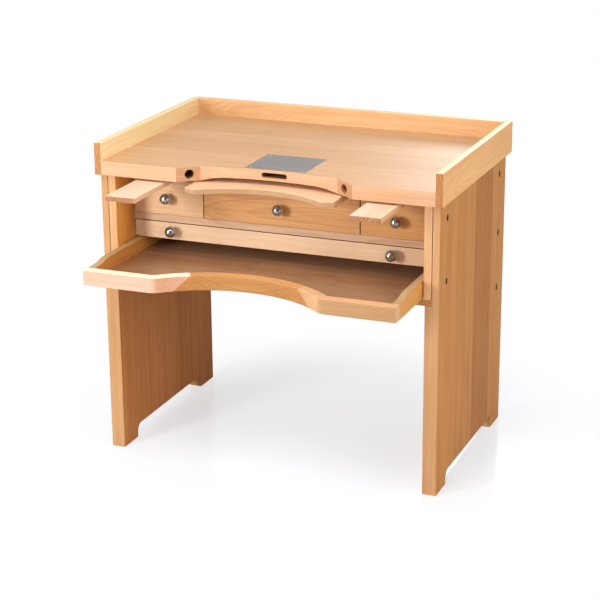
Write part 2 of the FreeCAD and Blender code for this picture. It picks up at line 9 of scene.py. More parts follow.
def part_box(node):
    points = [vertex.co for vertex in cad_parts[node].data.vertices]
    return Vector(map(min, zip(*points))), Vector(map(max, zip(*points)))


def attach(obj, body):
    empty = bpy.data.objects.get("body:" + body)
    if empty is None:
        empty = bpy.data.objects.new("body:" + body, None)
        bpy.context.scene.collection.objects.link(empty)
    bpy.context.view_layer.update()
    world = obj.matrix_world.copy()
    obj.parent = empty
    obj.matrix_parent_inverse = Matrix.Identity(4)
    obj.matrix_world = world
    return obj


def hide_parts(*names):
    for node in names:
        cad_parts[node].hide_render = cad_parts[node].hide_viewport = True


# Dresses the jeweller's bench: oiled beech boards, ball knobs, bolts and screws, a satin steel
# plate, and a pale studio round them. Lengths are in metres.

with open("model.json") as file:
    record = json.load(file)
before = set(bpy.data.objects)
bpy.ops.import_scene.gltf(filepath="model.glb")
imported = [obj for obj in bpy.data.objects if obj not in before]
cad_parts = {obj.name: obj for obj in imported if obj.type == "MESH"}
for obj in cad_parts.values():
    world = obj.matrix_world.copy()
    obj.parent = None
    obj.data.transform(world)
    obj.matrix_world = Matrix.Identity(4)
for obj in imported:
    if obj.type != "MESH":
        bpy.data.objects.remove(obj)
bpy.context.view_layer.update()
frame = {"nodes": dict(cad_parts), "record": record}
nodes = frame["nodes"]
body_of = {node: body for body, members in frame["record"]["behaviour"]["bodies"].items()
           for node in members}

mm = 0.001
same_point = 1e-6

# ---- Sizes that the finishes share with the CAD pieces
# Right mandrel bore: the middle of its mouth, its way into the worktop and its radius
bore_mouth = (222.96 * mm, -206.05 * mm, 830 * mm)
bore_way = (0.590, 0.807, 0.0)
bore_radius = 13 * mm

# Bench-pin slot: its middle, the line of its mouth and half its width and height
slot_x = 7 * mm
slot_z = 835 * mm
slot_mouth_y = -161 * mm
slot_half_width = 37 * mm
slot_half_height = 7 * mm

# Counterbores of the leg panels
counterbore_radius = 9 * mm

# Shadow groove between a case side and its leg panel
groove_width = 1.9 * mm
groove_depth = 9.0 * mm

# Ball knobs
ball_radius = 16 * mm
knob_height = 36 * mm
base_radius = 10 * mm
base_height = 2 * mm
base_round = 0.7 * mm
neck_radius = 6.5 * mm
neck_fillet = 1.2 * mm

# Angle of an edge that gets eased, and angles past which shading breaks: beside an eased edge,
# on a ball, and elsewhere
corner_angle = math.radians(40)
flat_beside_bevel = math.radians(20)
round_ball = math.radians(50)
plain_edges = math.radians(32)


# ---- Colours
def tint(code):
    """Linear colour, with alpha, of a written one such as E8BE96."""
    shares = [int(code[i:i + 2], 16) / 255 for i in (0, 2, 4)]
    linear = [share / 12.92 if share < 0.04045 else ((share + 0.055) / 1.055) ** 2.4
              for share in shares]
    return (*linear, 1.0)


# ---- Node trees
def add(tree, kind, inputs, **settings):
    """A node with its settings, its constants and its links."""
    node = tree.nodes.new(kind)
    for name, value in settings.items():
        setattr(node, name, value)
    for socket, value in inputs.items():
        if isinstance(value, bpy.types.NodeSocket):
            tree.links.new(value, node.inputs[socket])
        else:
            node.inputs[socket].default_value = value
    return node


def calc(tree, operation, *values):
    return add(tree, "ShaderNodeMath", dict(enumerate(values)), operation=operation).outputs[0]


def plus(tree, first, second):
    return calc(tree, "ADD", first, second)


def minus(tree, first, second):
    return calc(tree, "SUBTRACT", first, second)


def times(tree, first, second):
    return calc(tree, "MULTIPLY", first, second)


def size(tree, value):
    return calc(tree, "ABSOLUTE", value)


def swing(tree, value, width):
    """Turns a value round a half into one round zero, of the width given."""
    return times(tree, minus(tree, value, 0.5), width)


def within(tree, value, centre, reach):
    """1 where the value is nearer to the centre than the reach, and 0 elsewhere."""
    return calc(tree, "LESS_THAN", size(tree, minus(tree, value, centre)), reach)


def step(tree, value, low, high, first=0.0, last=1.0):
    """The first number below low, the last one above high, and a smooth change between."""
    values = {"Value": value, "From Min": low, "From Max": high, "To Min": first, "To Max": last}
    node = add(tree, "ShaderNodeMapRange", values, interpolation_type="SMOOTHSTEP")
    return node.outputs["Result"]


def split(tree, vector):
    return add(tree, "ShaderNodeSeparateXYZ", {0: vector}).outputs[:3]


def joined(tree, x, y, z):
    return add(tree, "ShaderNodeCombineXYZ", {0: x, 1: y, 2: z}).outputs[0]


def vector_calc(tree, operation, first, second):
    node = add(tree, "ShaderNodeVectorMath", {0: first, 1: second}, operation=operation)
    gives_number = operation in ("DOT_PRODUCT", "DISTANCE")
    return node.outputs["Value" if gives_number else "Vector"]


def stretched(tree, vector, factors):
    return vector_calc(tree, "MULTIPLY", vector, factors)


def noise(tree, vector, detail=2.0, roughness=0.5):
    values = {"Vector": vector, "Scale": 1.0, "Detail": detail, "Roughness": roughness}
    return add(tree, "ShaderNodeTexNoise", values).outputs


def mixed(tree, share, first, second):
    """Mix of two colours; a Mix node keeps its colours in sockets 6 and 7 and gives one in 2."""
    return add(tree, "ShaderNodeMix", {0: share, 6: first, 7: second}, data_type="RGBA").outputs[2]


def object_place(tree):
    return tree.nodes.new("ShaderNodeTexCoord").outputs["Object"]


def group(name, inputs, outputs):
    tree = bpy.data.node_groups.new(name, "ShaderNodeTree")
    for way, sockets in (("INPUT", inputs), ("OUTPUT", outputs)):
        for label, kind in sockets:
            tree.interface.new_socket(label, in_out=way, socket_type="NodeSocket" + kind)
    return tree, tree.nodes.new("NodeGroupInput").outputs, tree.nodes.new("NodeGroupOutput").inputs


# ---- Beech
widest_stave = 1.0


def beech_figure():
    """Solid beech, as sawn from a log that lies along x: growth rings round the heart, streaks,
    fibres and short flecks. Each stave is out of a log of its own, and the end grain takes the oil
    differently. The faces and the edges of a board have shades of their own, which partly paint the
    light and sheen that differ between its tops and its sides."""
    tree, given, result = group(
        "beech_figure",
        [("Place", "Vector"), ("Facing", "Vector"), ("Heart", "Vector"), ("Slope", "Vector"),
         ("Dark Band", "Vector"), ("Stave", "Float"), ("Ring", "Float"), ("Figure", "Float"),
         ("Variety", "Float"), ("Seed", "Float"), ("Face Pale", "Color"), ("Face Deep", "Color"),
         ("Edge Pale", "Color"), ("Edge Deep", "Color"), ("End", "Color"), ("End Depth", "Float")],
        [("Color", "Color"), ("Roughness", "Float"), ("Height", "Float")])
    place = split(tree, given["Place"])
    heart = split(tree, given["Heart"])
    slope = split(tree, given["Slope"])
    facing = split(tree, given["Facing"])
    end = step(tree, size(tree, facing[0]), 0.2, 0.95)
    edge = step(tree, size(tree, facing[1]), 0.45, 0.85)

    # Staves, each with its own three numbers; a board that isn't glued up is one wide stave
    stave = calc(tree, "FLOOR", plus(tree, calc(tree, "DIVIDE", place[1], given["Stave"]), 0.5))
    own = add(tree, "ShaderNodeTexWhiteNoise", {"W": plus(tree, stave, given["Seed"])},
              noise_dimensions="1D")
    luck = add(tree, "ShaderNodeSeparateColor", {0: own.outputs["Color"]}).outputs
    glued = calc(tree, "LESS_THAN", given["Stave"], widest_stave)
    across = minus(tree, place[1], times(tree, stave, given["Stave"]))
    log_apart = 3.7
    shift = times(tree, plus(tree, luck[0], given["Seed"]), log_apart)
    moved = vector_calc(tree, "ADD", given["Place"], joined(tree, shift, shift, luck[1]))

    # Distance from the heart of the log, which slopes and wanders along the length
    wander = 60 * mm
    stave_aside = 60 * mm
    drift = noise(tree, stretched(tree, moved, (1.7, 6.0, 6.0)), 3.0, 0.45)["Color"]
    drift = add(tree, "ShaderNodeSeparateColor", {0: drift}).outputs
    length = minus(tree, place[0], slope[0])
    aside = times(tree, minus(tree, luck[0], 0.5), times(tree, glued, stave_aside))
    sideways = plus(tree, plus(tree, across, heart[1]), plus(tree, swing(tree, drift[0], wander), aside))
    sideways = plus(tree, sideways, times(tree, length, slope[1]))
    depth = times(tree, heart[2], plus(tree, times(tree, luck[1], 0.8), 0.6))
    upwards = plus(tree, plus(tree, place[2], depth), swing(tree, drift[1], wander))
    upwards = plus(tree, upwards, times(tree, length, slope[2]))
    square = plus(tree, times(tree, sideways, sideways), times(tree, upwards, upwards))
    radius = calc(tree, "SQRT", square)

    # Growth rings of uneven width and tone, each a soft band with a firmer outer edge
    outwards = joined(tree, times(tree, radius, 130.0), given["Seed"], 0.0)
    uneven = times(tree, noise(tree, outwards, 1.0)[0], 1.6)
    ring = plus(tree, calc(tree, "DIVIDE", radius, given["Ring"]), uneven)
    part = calc(tree, "FRACT", ring)
    tone = add(tree, "ShaderNodeTexWhiteNoise", {"W": calc(tree, "FLOOR", ring)}, noise_dimensions="1D")
    late = times(tree, step(tree, part, 0.0, 0.85), step(tree, part, 1.0, 0.85))
    late = times(tree, late, plus(tree, times(tree, tone.outputs[0], 0.8), 0.35))
    late = times(tree, late, given["Figure"])

    # Streaks and fibres along the grain, soft cloudy tone and short flecks
    streak = noise(tree, stretched(tree, moved, (2.2, 62.0, 62.0)), 3.0, 0.55)[0]
    line = noise(tree, stretched(tree, moved, (5.0, 240.0, 240.0)), 2.0, 0.6)[0]
    fibre = noise(tree, stretched(tree, moved, (14.0, 620.0, 620.0)), 3.0, 0.6)[0]
    cloud = noise(tree, stretched(tree, moved, (1.8, 7.0, 7.0)), 2.0)[0]
    flecks = {"Vector": stretched(tree, moved, (150.0, 900.0, 900.0)), "Scale": 1.0}
    fleck = add(tree, "ShaderNodeTexVoronoi", flecks).outputs["Distance"]
    fleck = step(tree, fleck, 0.30, 0.16)

    # How deep the tone is, from all of these and from the glue lines between the staves
    plain_level = 0.32
    glue_line = 0.42
    fleck_depth = 0.20
    level = plus(tree, plain_level, late)
    for value, weight in ((streak, 0.70), (line, 0.35), (fibre, 0.22), (cloud, 0.55)):
        level = plus(tree, level, swing(tree, value, weight))
    band = split(tree, given["Dark Band"])
    dark_band = times(tree, calc(tree, "GREATER_THAN", place[1], band[0]),
                      calc(tree, "LESS_THAN", place[1], band[1]))
    half_stave = times(tree, given["Stave"], 0.5)
    seam = step(tree, size(tree, across), minus(tree, half_stave, 1 * mm), half_stave)
    for value in (swing(tree, luck[2], given["Variety"]), times(tree, dark_band, band[2]),
                  times(tree, seam, glue_line), times(tree, fleck, fleck_depth)):
        level = plus(tree, level, value)
    level = add(tree, "ShaderNodeClamp", {"Value": level, "Min": 0.0, "Max": 1.5}).outputs[0]

    # The end grain drinks more oil, and its late wood shows as dark lines
    colour = mixed(tree, edge, mixed(tree, level, given["Face Pale"], given["Face Deep"]),
                   mixed(tree, level, given["Edge Pale"], given["Edge Deep"]))
    lines = times(tree, step(tree, part, 0.25, 0.60), step(tree, part, 1.0, 0.80))
    lines = times(tree, lines, minus(tree, 0.92, given["End Depth"]))
    lines = plus(tree, given["End Depth"], lines)
    colour = mixed(tree, times(tree, end, lines), colour, given["End"])
    tree.links.new(colour, result["Color"])
    rough = plus(tree, 0.40, times(tree, fibre, 0.10))
    rough = plus(tree, rough, times(tree, end, 0.12))
    tree.links.new(rough, result["Roughness"])
    height = minus(tree, times(tree, fibre, 0.6), times(tree, fleck, 0.5))
    height = minus(tree, height, times(tree, seam, 0.6))
    tree.links.new(height, result["Height"])
    return tree


figure = beech_figure()

# Turns that lay the grain of a piece, which runs along one of its own axes, along x
grain_turns = {"x": (0.0, 0.0, 0.0), "y": (0.0, 0.0, -math.pi / 2), "z": (0.0, math.pi / 2, 0.0)}


def surface(tree):
    return next(node for node in tree.nodes if node.type == "BSDF_PRINCIPLED")


def principled(name, **inputs):
    material = bpy.data.materials.new(name)
    material.use_nodes = True
    shader = surface(material.node_tree)
    for socket, value in inputs.items():
        shader.inputs[socket.replace("_", " ")].default_value = value
    return material, material.node_tree, shader


def beech(name, grain, seed, face, edge=None, end="9A5A28", centre=(0.0, 0.0, 0.0), heart=(0.0, 0.0, 0.06),
          slope=(0.0, 0.0, 0.016), dark_band=(0.0, 0.0, 0.0), stave=4.0, ring=0.0042, figured=0.30,
          variety=0.0, sheen=0.14, end_depth=0.30, polish=1.0):
    """Oiled beech. Once the grain lies along x, face holds the pale and deep shades of the sides
    that look up or down, and edge those of the sides that look sideways; where the two differ, they
    partly paint the light and sheen that differ between those sides. Heart, slope and dark_band place
    the rings and a darker band, from the centre given."""
    material, tree, shader = principled(name, Specular_IOR_Level=sheen)
    coordinates = tree.nodes.new("ShaderNodeTexCoord").outputs
    turn = Euler(grain_turns[grain]).to_matrix()
    place = add(tree, "ShaderNodeMapping", {
        "Vector": coordinates["Object"], "Location": -(turn @ Vector(centre)),
        "Rotation": grain_turns[grain]})
    facing = add(tree, "ShaderNodeMapping", {
        "Vector": coordinates["Normal"], "Rotation": grain_turns[grain]}, vector_type="VECTOR")
    edge = edge or face
    wood = add(tree, "ShaderNodeGroup", {
        "Place": place.outputs[0], "Facing": facing.outputs[0], "Heart": heart, "Slope": slope,
        "Dark Band": dark_band, "Stave": stave, "Ring": ring, "Figure": figured,
        "Variety": variety, "Seed": seed, "Face Pale": tint(face[0]), "Face Deep": tint(face[1]),
        "Edge Pale": tint(edge[0]), "Edge Deep": tint(edge[1]), "End": tint(end),
        "End Depth": end_depth}, node_tree=figure).outputs
    bump = add(tree, "ShaderNodeBump", {"Height": wood["Height"], "Strength": 0.35, "Distance": 0.4 * mm})
    tree.links.new(wood["Color"], shader.inputs["Base Color"])
    tree.links.new(times(tree, wood["Roughness"], polish), shader.inputs["Roughness"])
    tree.links.new(bump.outputs[0], shader.inputs["Normal"])
    return material


def laid_over(material, share, colour):
    """Lays a colour over the wood, as much of it as the share says: painted shade in hollows, or a deeper
    tone.
    """
    tree = material.node_tree
    base = surface(tree).inputs["Base Color"]
    wood = base.links[0].from_socket
    tree.links.new(mixed(tree, share, wood, tint(colour)), base)
    return material


def painted_hole_shade(material):
    """Painted shade: dark insides of the mandrel bores and of the bench-pin slot."""
    tree = material.node_tree
    x, y, z = split(tree, object_place(tree))
    mirrored = joined(tree, size(tree, x), y, z)
    from_mouth = vector_calc(tree, "SUBTRACT", mirrored, bore_mouth)
    depth = vector_calc(tree, "DOT_PRODUCT", from_mouth, bore_way)
    square = vector_calc(tree, "DOT_PRODUCT", from_mouth, from_mouth)
    off_axis = calc(tree, "SQRT", minus(tree, square, times(tree, depth, depth)))
    in_bore = times(tree, step(tree, off_axis, bore_radius + 0.5 * mm, bore_radius + 0.2 * mm),
                    step(tree, depth, 2 * mm, 20 * mm))
    in_slot = times(tree, step(tree, y, slot_mouth_y, slot_mouth_y + 14 * mm),
                    within(tree, z, slot_z, slot_half_height + 0.3 * mm))
    in_slot = times(tree, in_slot, within(tree, x, slot_x, slot_half_width + 0.3 * mm))
    return laid_over(material, times(tree, calc(tree, "MAXIMUM", in_bore, in_slot), 0.7), "6A3E20")


def dark_bolt_holes(material, panel):
    """Shaded insides of the counterbores round the bolts of a leg panel."""
    tree = material.node_tree
    x, y, z = split(tree, object_place(tree))
    beside = joined(tree, y, z, 0.0)
    inside = 0.0
    for low, high in solids("panel_bolts"):
        if low.x > 0:
            axis = ((low.y + high.y) / 2, (low.z + high.z) / 2, 0.0)
            distance = vector_calc(tree, "DISTANCE", beside, axis)
            near = calc(tree, "LESS_THAN", distance, counterbore_radius + 0.4 * mm)
            inside = calc(tree, "MAXIMUM", inside, near)
    sunk = calc(tree, "LESS_THAN", size(tree, x), outer_x(panel) - 0.8 * mm)
    return laid_over(material, times(tree, times(tree, inside, sunk), 0.85), "4A2810")


def painted_groove_shade(material, case):
    """Painted shade down the groove between a case side and its leg panel."""
    tree = material.node_tree
    x, y, z = split(tree, object_place(tree))
    inner_wall = outer_x(case) - groove_width - 0.1 * mm
    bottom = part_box(case)[0].y + groove_depth + 0.1 * mm
    inside = times(tree, calc(tree, "GREATER_THAN", size(tree, x), inner_wall),
                   calc(tree, "LESS_THAN", y, bottom))
    return laid_over(material, times(tree, inside, 0.9), "3A2210")


def deeper_outside(material, rim):
    """Outer side of the left rim in the deeper tone of the other rims; the rest keeps the pale shades that
    paint the light thrown onto its inner side.
    """
    tree = material.node_tree
    x, y, z = split(tree, object_place(tree))
    outside = calc(tree, "LESS_THAN", x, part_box(rim)[0].x + 0.4 * mm)
    return laid_over(material, times(tree, outside, 0.6), "E68F40")


# ---- Meshes
def finished(name, bm, body, material, smooth=plain_edges, replaced=()):
    """Makes the object, shades it, and hangs it on its body."""
    bmesh.ops.remove_doubles(bm, verts=bm.verts, dist=same_point)
    mesh = bpy.data.meshes.new(name)
    bm.to_mesh(mesh)
    bm.free()
    mesh.shade_smooth()
    mesh.set_sharp_from_angle(angle=smooth)
    mesh.materials.append(material)
    piece = bpy.data.objects.new(name, mesh)
    bpy.context.scene.collection.objects.link(piece)
    if body:
        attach(piece, body)
    if replaced:
        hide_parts(*replaced)
    return piece


def middle(node):
    low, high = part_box(node)
    return (low + high) / 2


def outer_x(node):
    """Distance from the bench's middle to the outer side of a piece."""
    low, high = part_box(node)
    return max(abs(low.x), abs(high.x))


def merged_copy(node):
    bm = bmesh.new()
    bm.from_mesh(nodes[node].data)
    bmesh.ops.remove_doubles(bm, verts=bm.verts, dist=same_point)
    return bm


def solids(node):
    """Box of each separate solid of a CAD piece."""
    bm = merged_copy(node)
    left = set(bm.verts)
    boxes = []
    while left:
        corners = []
        waiting = [min(left, key=lambda vert: vert.index)]
        while waiting:
            vert = waiting.pop()
            if vert in left:
                left.discard(vert)
                corners.append(vert.co)
                waiting += [edge.other_vert(vert) for edge in vert.link_edges]
        boxes.append((Vector([min(corner[i] for corner in corners) for i in range(3)]),
                      Vector([max(corner[i] for corner in corners) for i in range(3)])))
    bm.free()
    return boxes


def dress(node, material):
    """Gives a CAD piece a better material."""
    for slot in nodes[node].material_slots:
        slot.material = material


def whole_faces(node):
    """Copy of a CAD piece's mesh with its flat faces made whole again."""
    bm = merged_copy(node)
    bmesh.ops.dissolve_limit(bm, angle_limit=math.radians(0.2), verts=bm.verts, edges=bm.edges)
    return bm


def corners_of(bm):
    return [edge for edge in bm.edges if edge.is_manifold and edge.calc_face_angle_signed() > corner_angle]


def sanded(node, bm, edges, width, material):
    """Eases the edges given, as with a sanding block, and puts the piece in the node's place."""
    bmesh.ops.bevel(bm, geom=edges, offset=width, offset_type="OFFSET", segments=2, profile=0.5,
                    affect="EDGES", clamp_overlap=True, material=-1)
    finished(node + "_eased", bm, body_of[node], material, flat_beside_bevel, [node])


def eased(node, width, material):
    """Copy of a CAD piece with all its corners eased."""
    bm = whole_faces(node)
    sanded(node, bm, corners_of(bm), width, material)


def grooved(node, width, material):
    """Copy of a case side whose front edge, eased, stands a little clear of the leg panel."""
    bm = whole_faces(node)
    low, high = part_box(node)
    side = 1 if high.x > 0 else -1
    front_y = low.y
    for depth in (groove_depth, groove_depth + 0.02 * mm):
        geometry = bm.verts[:] + bm.edges[:] + bm.faces[:]
        bmesh.ops.bisect_plane(bm, geom=geometry, plane_co=(0, front_y + depth, 0), plane_no=(0, 1, 0))
    beside = [vert for vert in bm.verts
              if abs(vert.co.x - side * outer_x(node)) < 10 * same_point
              and vert.co.y < front_y + groove_depth + same_point]
    bmesh.ops.translate(bm, verts=beside, vec=(-side * groove_width, 0, 0))
    front = [edge for edge in corners_of(bm)
             if max(vert.co.y for vert in edge.verts) < front_y + 10 * same_point]
    sanded(node, bm, front, width, material)


# ---- Wood, piece by piece
# The worktop gets painted shade inside its mandrel bores and its bench-pin slot.
dress("worktop", painted_hole_shade(beech(
    "worktop_beech", "x", 3.0, ("D8AC7D", "B8814E"), ("D9AE89", "B88153"), centre=middle("worktop"),
    stave=79 * mm, heart=(0, 0, 0.05), figured=0.12, variety=0.32, sheen=0.5, end_depth=0.5)))

# Rims: way of the grain, shades of the faces and of the edges, heart, slope, strength of the rings
rims = (
    # The left rim's pale edge shades paint the light thrown back from the worktop onto its inner side;
    # deeper_outside keeps its outer side deeper.
    ("rim_left", "y", ("F9E2B9", "D9AB66"), ("FFECBC", "E3AF66"), (0, 0.045, 0.0), (0, 0.03, 0.0), 0.12),
    ("rim_right", "y", ("FBDBB5", "D9A466"), ("F8BE7E", "D59047"), (0, -0.05, 0.0), (0, 0.03, 0.0), 0.14),
    ("rim_back", "x", ("F8DCAB", "D6A45D"), ("E3BA8E", "C18648"), (0, 0.006, 0.008), (0.03, 0.11, 0.02),
     0.20))
for seed, (rim, grain, face, edge, heart, slope, figured) in enumerate(rims):
    wood = beech(rim + "_beech", grain, 11.0 + seed, face, edge, "99550F", centre=middle(rim),
                 heart=heart, slope=slope, figured=figured, ring=0.0045, end_depth=0.76)
    if rim == "rim_left":
        deeper_outside(wood, rim)
    eased(rim, 0.8 * mm, wood)

# Legs: the middle of one of the staves, glued side by side; a darker band, by its two sides and its
# strength, which is reddish heartwood on the right panel and painted shade over the back of the left
# panel's inner face; the width of a stave; shades of the faces and of the edges, the paler edges
# partly painting the sheen on the front edges of the panels
legs = (
    ("left", 28.5 * mm, (130.5 * mm, 400 * mm, 0.34), 87 * mm,
     ("C6864F", "9A5A20"), ("CEA275", "A46D3D")),
    ("right", 65.25 * mm, (40.75 * mm, 203.75 * mm, 0.30), 81.5 * mm,
     ("D39251", "A26229"), ("CE9F72", "A46B3B")))
for seed, (side, stave_y, dark_band, stave, face, edge) in enumerate(legs):
    panel = "leg_panel_" + side
    centre = middle(panel)
    centre.y = stave_y
    eased(panel, 1.0 * mm, dark_bolt_holes(beech(
        panel + "_beech", "z", 21.0 + 5 * seed, face, edge, centre=centre, stave=stave,
        heart=(0, 0.0, 0.05), dark_band=dark_band, figured=0.10, variety=0.20, sheen=0.03), panel))
    case = "case_side_" + side
    # The case side gets painted shade inside the groove beside its leg panel.
    grooved(case, 0.8 * mm, painted_groove_shade(beech(
        case + "_beech", "z", 31.0 + seed, ("FCBE62", "D88A38"), ("DFB38B", "B47A44"),
        centre=middle(case), stave=84 * mm, heart=(0, 0.0, 0.05), figured=0.12, variety=0.3), case))
    runner = "tray_runner_" + side
    eased(runner, 0.6 * mm, beech(
        runner + "_beech", "y", 41.0 + seed, ("DDA56C", "B07340"), centre=middle(runner)))

plain_boards = (
    ("back_rail", "x", "E2AC76", "B67A48"), ("drawer_shelf", "x", "DCBC9D", "BB8E6B"),
    ("slide_shelf", "x", "DDA974", "B27C4C"), ("divider_left", "z", "DDA974", "B27C4C"),
    ("divider_right", "z", "DDA974", "B27C4C"), ("outer_guides", "y", "D9A067", "AC713C"),
    ("inner_guides", "y", "D9A067", "AC713C"), ("drawer_battens", "y", "DDA974", "B27C4C"))
for seed, (board, grain, pale, deep) in enumerate(plain_boards):
    dress(board, beech(board + "_beech", grain, 51.0 + seed, (pale, deep), centre=middle(board)))

dress("belly_board", beech(
    "belly_board_beech", "x", 61.0, ("F3CFAE", "D8A170"), ("B99672", "A2714A"), "C08E60",
    centre=middle("belly_board"), figured=0.16, end_depth=0.6))
for seed, side in enumerate(("left", "right")):
    rest = "arm_rest_" + side
    dress(rest, beech(
        rest + "_beech", "y", 63.0 + seed, ("FAE0C8", "D19B6E"), ("F4CFA6", "CA8F5B"), "85430C",
        centre=middle(rest), heart=(0, 0.12, 0.12), ring=0.0062, figured=0.14, end_depth=0.72))

# Catch tray: way of the grain, shades of the faces and of the edges, end grain, strength of the rings
tray_woods = (
    ("tray_front_left", "x", ("FFF8E1", "FCC499"), ("DDB29C", "BC8661"), "B27038", 0.12),
    ("tray_front_middle", "x", ("DDA469", "AE6C34"), ("B98650", "945622"), "B87440", 0.20),
    ("tray_front_right", "x", ("E6B787", "C0875A"), ("BB9167", "9B6940"), "DDB083", 0.14),
    ("tray_sides", "y", ("C5A67A", "A0784C"), ("E3A255", "B8702F"), "B87440", 0.14),
    ("tray_back", "x", ("DDA067", "B07440"), ("DDA067", "B07440"), "B87440", 0.14))
for seed, (board, grain, face, edge, end, figured) in enumerate(tray_woods):
    dress(board, beech(
        board + "_beech", grain, 71.0 + seed, face, edge, end, centre=middle(board),
        heart=(0, 0.06, 0.05), ring=0.006, figured=figured, end_depth=0.8))
dress("tray_floor", beech(
    "tray_floor_veneer", "x", 77.0, ("AE835F", "845A3C"), centre=middle("tray_floor"),
    heart=(0, 0.0, 0.25), figured=0.20, stave=190 * mm, variety=0.25, sheen=0.6, polish=0.55))
dress("case_back", beech(
    "case_back_veneer", "x", 78.0, ("D2A06C", "A9764A"), centre=middle("case_back"), figured=0.2))

# Drawers: shades of the front, heart, slope and strength of the rings; the wide drawer's front has
# narrow sides darkened with painted shade, for the gap over it
drawers = ("left_drawer", "centre_drawer", "right_drawer", "wide_drawer")
fronts = ((("F1CCA5", "C48E5C"), (0, 0.035, 0.01), (0, 0.02, 0.02), 0.12),
          (("E2B07B", "B87A3F"), (0, 0.004, 0.012), (0.12, 0.13, -0.03), 0.21),
          (("E2AF76", "B87A3F"), (0, 0.020, 0.03), (0, 0.05, 0.02), 0.16),
          (("E9CCAD", "D0A87E"), (0, 0.035, 0.01), (0, 0.02, 0.02), 0.12))
for seed, (drawer, (shades, heart, slope, figured)) in enumerate(zip(drawers, fronts)):
    front = drawer + "_front"
    # The wide drawer's dark narrow sides are painted shade for the gap above its front.
    narrow = ("94633A", "744A28") if drawer == "wide_drawer" else shades
    eased(front, 0.5 * mm, beech(
        front + "_beech", "x", 81.0 + seed, narrow, shades, centre=middle(front), heart=heart,
        slope=slope, ring=0.0075, figured=figured))
    for board, grain in ((drawer + "_sides", "y"), (drawer + "_back", "x")):
        eased(board, 0.5 * mm, beech(
            board + "_beech", grain, 85.0 + seed, ("ECC193", "C68F5C"), centre=middle(board),
            heart=(0, 0.08, 0.03)))
    bottom = drawer + "_bottom"
    dress(bottom, beech(
        bottom + "_veneer", "x", 91.0 + seed, ("E3B584", "BC8857"), centre=middle(bottom),
        figured=0.2, heart=(0, 0.0, 0.2)))


# ---- Steel
def brushed(name, shades, rough, scratch_scale, bump_strength, **finish):
    """Ground steel with fine scratches; the smallest scale is the way along which they run."""
    material, tree, shader = principled(name, **{"Metallic": 1.0, **finish})
    place = object_place(tree)
    scratches = noise(tree, stretched(tree, place, scratch_scale), 4.0, 0.6)[0]
    cloud = step(tree, noise(tree, stretched(tree, place, (9.0, 9.0, 9.0)), 3.0)[0], 0.2, 0.8)
    tree.links.new(mixed(tree, cloud, tint(shades[0]), tint(shades[1])), shader.inputs["Base Color"])
    tree.links.new(plus(tree, rough, times(tree, scratches, 0.14)), shader.inputs["Roughness"])
    bump = add(tree, "ShaderNodeBump", {
        "Height": scratches, "Strength": bump_strength, "Distance": 0.05 * mm})
    tree.links.new(bump.outputs[0], shader.inputs["Normal"])
    return material


plate_steel = brushed("plate_steel", ("898583", "96918E"), 0.30, (60.0, 2600.0, 60.0), 0.25)
knob_steel = brushed("knob_steel", ("A8ADB3", "BEC3C8"), 0.17, (900.0, 900.0, 900.0), 0.05,
                     Anisotropic=0.85, Anisotropic_Rotation=0.25)
zinc_steel = brushed("zinc_steel", ("B4B3AF", "C6C5C1"), 0.26, (800.0, 800.0, 800.0), 0.15)
# The bolts' brown-black is partly their own black finish and partly painted shade at the bottoms of their
# counterbores.
shaded_black_steel = brushed("shaded_black_steel", ("1E130B", "2C1D12"), 0.45, (700.0, 700.0, 700.0), 0.15,
                      Metallic=0.0, Specular_IOR_Level=0.15)
dress("steel_plate", plate_steel)
for fastener in ("top_screws", "insert_nuts", "barrel_nuts"):
    dress(fastener, zinc_steel)


# ---- Screws and bolts
fastener_sides = 24
recess_taper = 0.85


def circle(sides, radius):
    """Corners of a regular outline, the first of which lies along x."""
    turns = [math.tau * corner / sides for corner in range(sides)]
    return [(radius * math.cos(turn), radius * math.sin(turn)) for turn in turns]


def cross(reach, half):
    """Corners of the cross-shaped mouth of a screw's recess."""
    arm = ((reach, -half), (reach, half), (half, half))
    return [Matrix.Rotation(quarter * math.pi / 2, 2) @ Vector((x, y))
            for quarter in range(4) for x, y in arm]


def hexagon(across_flats):
    """Corners of the six-sided mouth of a bolt's socket."""
    return circle(6, across_flats / math.sqrt(3))


def ring(bm, corners, height, scale=1.0):
    """Adds a closed ring of edges through the corners, scaled, at a height; gives the edges."""
    verts = [bm.verts.new((scale * x, scale * y, height)) for x, y in corners]
    return [bm.edges.new((verts[i - 1], verts[i])) for i in range(len(verts))]


def driven(bm, mouth, recess, profile, placing):
    """Builds a screw or bolt, standing down from z = 0, round the mouth of its recess, which is
    sunk by the depth given. Profile holds (radius, height) from the rim of the head to the point."""
    old = set(bm.verts)
    rings = [ring(bm, mouth, -recess, recess_taper), ring(bm, mouth, 0.0)]
    rings += [ring(bm, circle(fastener_sides, radius), height) for radius, height in profile]
    for first, second in zip(rings, rings[1:]):
        bmesh.ops.bridge_loops(bm, edges=first + second)
    bmesh.ops.holes_fill(bm, edges=rings[0] + rings[-1], sides=0)
    bmesh.ops.transform(bm, matrix=placing, verts=[vert for vert in bm.verts if vert not in old])


# Screws of the steel plate: countersunk, with cross recesses turned as they happened to stop
bm = bmesh.new()
low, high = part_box("plate_screws")
length = high.z - low.z
head = 4.0 * mm
shank = 2.0 * mm
cross_reach = 2.3 * mm
cross_half_width = 0.5 * mm
cross_depth = 1.3 * mm
for x in (low.x + head, high.x - head):
    for y in (low.y + head, high.y - head):
        turned = math.radians(25 + 31 * (x > 0) + 17 * (y > -0.1))
        driven(bm, cross(cross_reach, cross_half_width), cross_depth,
               ((head - 0.1 * mm, 0.0), (head, -0.15 * mm), (shank, -2 * mm), (shank, 2 * mm - length),
                (0.3 * mm, -length)),
               Matrix.Translation((x, y, high.z)) @ Matrix.Rotation(turned, 4, "Z"))
bmesh.ops.recalc_face_normals(bm, faces=bm.faces)
finished("plate_screws_crossed", bm, "bench", zinc_steel, replaced=["plate_screws"])
